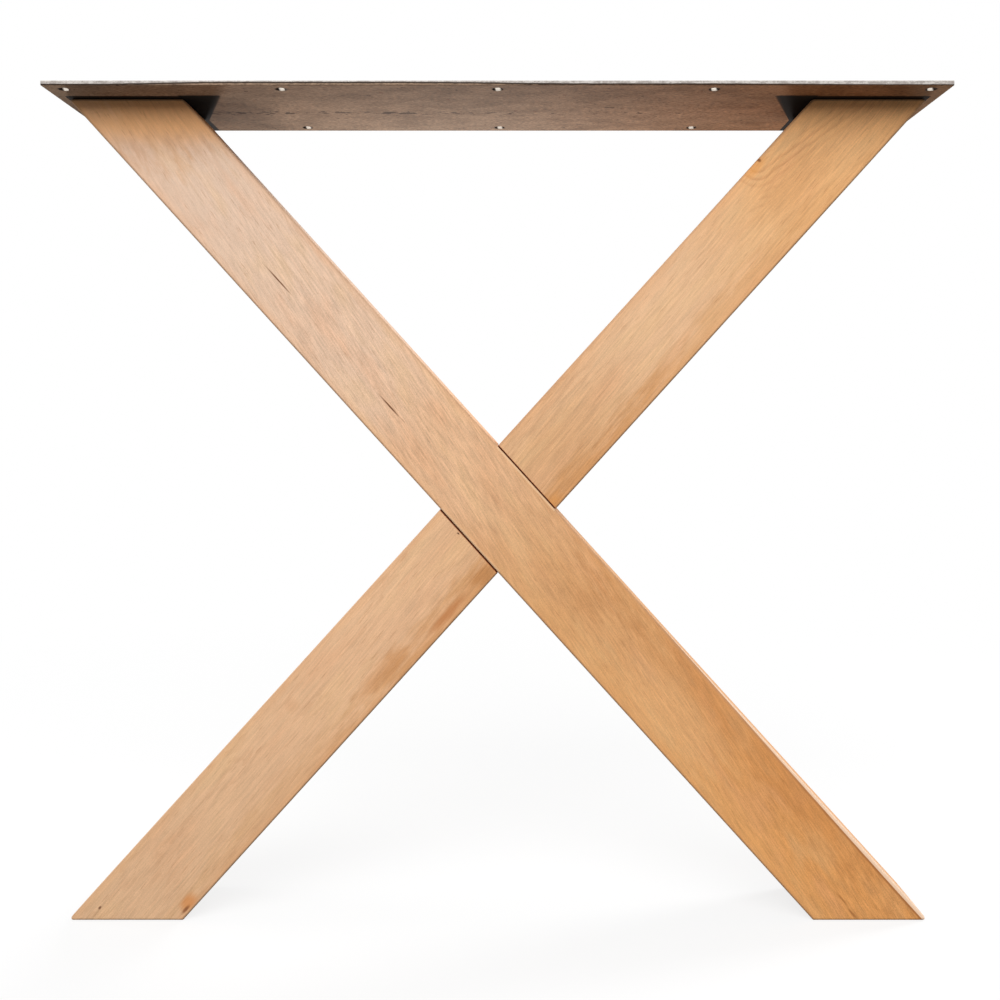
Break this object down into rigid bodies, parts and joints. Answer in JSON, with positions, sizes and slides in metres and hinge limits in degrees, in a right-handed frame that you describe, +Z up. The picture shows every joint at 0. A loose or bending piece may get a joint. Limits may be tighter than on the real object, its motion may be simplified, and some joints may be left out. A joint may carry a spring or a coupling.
{
  "type": "x shaped table leg",
  "caption": "X shaped table leg: two crossed square timbers, half-lapped at the middle, under a flat drilled steel mounting plate.",
  "frame": {"origin": "on the floor, midway between the two feet and midway front to back", "axes": "+X along the plate and the spread of the X, +Z up to the tabletop, the front face that shows the X is towards -Y"},
  "size_m": [0.765, 0.15, 0.72],
  "materials": {
    "plate_steel": "hot-rolled flat bar with its mill scale left bare, edges sawn bright",
    "beam_wood": "planed and sanded hardwood, thin matt oil",
    "screw_zinc": "bright zinc plating"
  },
  "bodies": {
    "root": {"mounting_plate": "plate_steel", "left_beam": "beam_wood", "right_beam": "beam_wood", "left_screw_1": "screw_zinc", "left_screw_2": "screw_zinc", "left_screw_3": "screw_zinc", "left_screw_4": "screw_zinc", "right_screw_1": "screw_zinc", "right_screw_2": "screw_zinc", "right_screw_3": "screw_zinc", "right_screw_4": "screw_zinc"}
  },
  "joints": []
}
